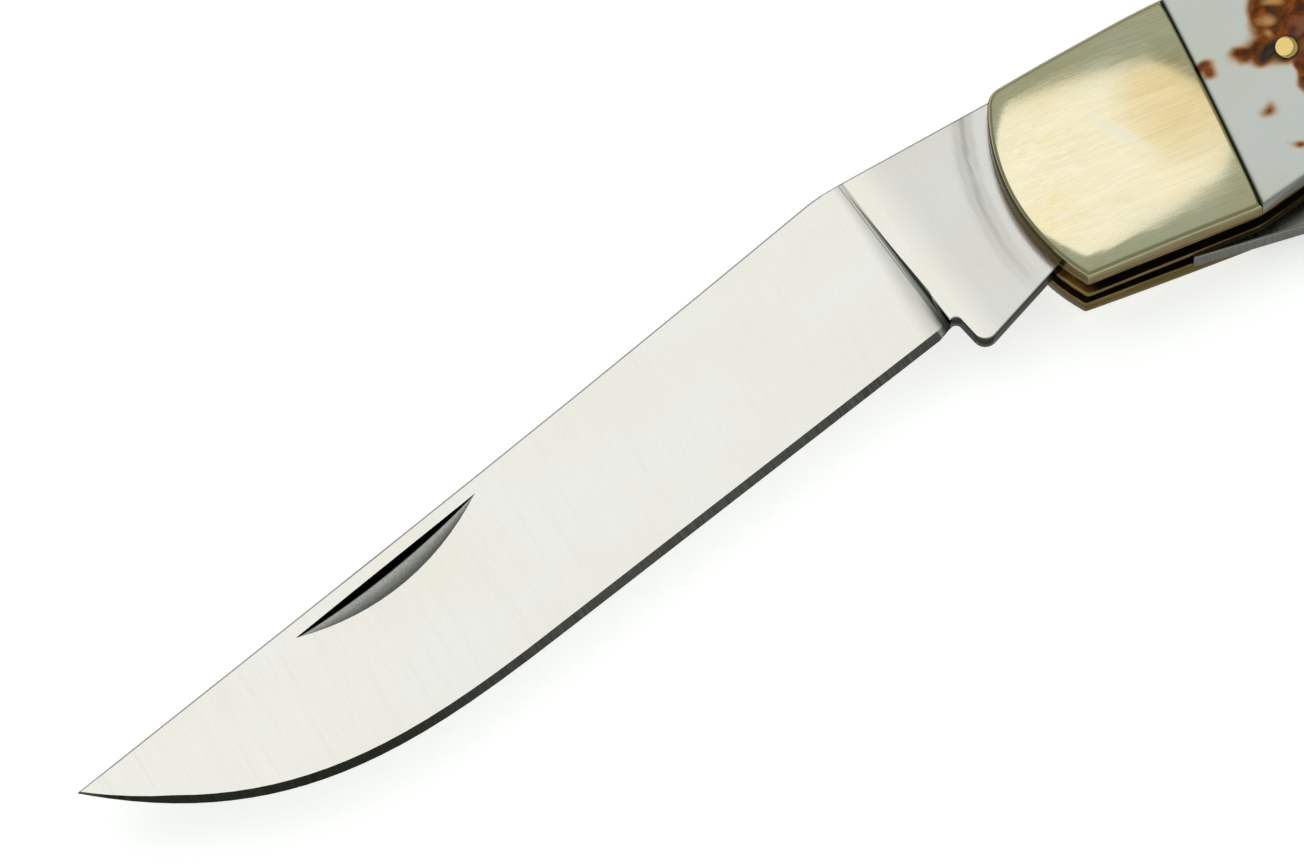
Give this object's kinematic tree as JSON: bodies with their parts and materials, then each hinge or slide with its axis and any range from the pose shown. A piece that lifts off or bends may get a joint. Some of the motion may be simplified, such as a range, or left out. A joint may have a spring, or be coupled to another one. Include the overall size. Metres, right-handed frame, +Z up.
{
  "type": "folding pocket knife",
  "caption": "Slip-joint folding pocket knife with a long clip blade open, a spey blade folded, brass bolsters and glossy blotched scales, for carrying and cutting.",
  "frame": {"origin": "centre of the open knife's footprint, on the surface that its pile side lies on", "axes": "+X from the blade's point toward the butt, +Y toward the handle's back, +Z up out of the mark side"},
  "size_m": [0.187, 0.0274, 0.0118],
  "materials": {
    "bolster_brass": "brushed",
    "liner_brass": "dull",
    "pin_brass": "polished",
    "scale": "polished, off-white with rust brown blotches",
    "blade_steel": "satin",
    "spring_steel": "satin"
  },
  "bodies": {
    "handle": {"mark_front_bolster": "bolster_brass", "mark_rear_bolster": "bolster_brass", "pile_front_bolster": "bolster_brass", "pile_rear_bolster": "bolster_brass", "pivot_pin": "bolster_brass", "rear_pin": "bolster_brass", "mark_liner": "liner_brass", "centre_liner": "liner_brass", "pile_liner": "liner_brass", "spring_pin": "pin_brass", "mark_front_scale_pin": "pin_brass", "mark_rear_scale_pin": "pin_brass", "pile_front_scale_pin": "pin_brass", "pile_rear_scale_pin": "pin_brass", "mark_scale": "scale", "pile_scale": "scale"},
    "main_blade": {"main_blade": "blade_steel"},
    "spey_blade": {"spey_blade": "blade_steel"},
    "main_spring": {"main_spring": "spring_steel"},
    "spey_spring": {"spey_spring": "spring_steel"}
  },
  "joints": [
    {"name": "main_blade_pivot", "type": "hinge", "parent": "handle", "child": "main_blade", "pos_m": [-0.00388, 0.00539, 0.0072], "axis": [0, 0, 1], "range_deg": [0, 167.28]},
    {"name": "spey_blade_pivot", "type": "hinge", "parent": "handle", "child": "spey_blade", "pos_m": [-0.00388, 0.00539, 0.0044], "axis": [0, 0, 1], "range_deg": [-167.28, 0]},
    {"name": "main_spring_flex", "type": "hinge", "parent": "handle", "child": "main_spring", "pos_m": [0.03788, 0.0099, 0.0072], "axis": [0, 0, -1], "range_deg": [0, 2], "stiffness_Nm_per_rad": 0.4, "deforming": ["main_spring"]},
    {"name": "spey_spring_flex", "type": "hinge", "parent": "handle", "child": "spey_spring", "pos_m": [0.03788, 0.0099, 0.0044], "axis": [0, 0, -1], "range_deg": [0, 2], "stiffness_Nm_per_rad": 0.4, "deforming": ["spey_spring"]}
  ]
}
